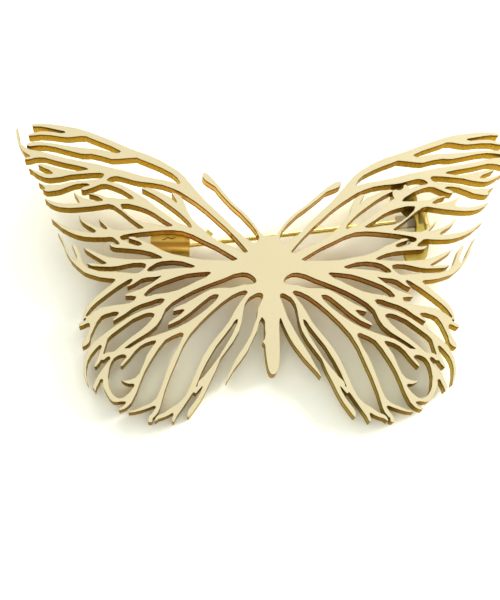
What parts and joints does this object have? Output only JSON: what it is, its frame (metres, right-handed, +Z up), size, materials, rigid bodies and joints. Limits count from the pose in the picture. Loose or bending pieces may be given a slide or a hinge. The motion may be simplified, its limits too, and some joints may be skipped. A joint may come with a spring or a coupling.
{
  "type": "brooch",
  "caption": "Pierced butterfly brooch in satin gold-coloured metal, with a hinged pin and a rolled catch on its back.",
  "frame": {"origin": "middle of the bounding box, on the surface that the brooch lies on", "axes": "+X toward the hinge's side along the wingspan, +Y toward the head, +Z up out of the face"},
  "size_m": [0.0558, 0.0334, 0.0053],
  "materials": {
    "gold": "satin face, polished sawn walls",
    "pin": "polished"
  },
  "bodies": {
    "brooch": {"butterfly": "gold", "hinge_rivet": "pin"},
    "pin": {"pin_stem": "pin"}
  },
  "joints": [
    {"name": "pin_hinge", "type": "hinge", "parent": "brooch", "child": "pin", "pos_m": [0.0175, 0.00712, 0.00096], "axis": [0.1219, -0.9873, -0.1018], "range_deg": [0, 100]}
  ]
}
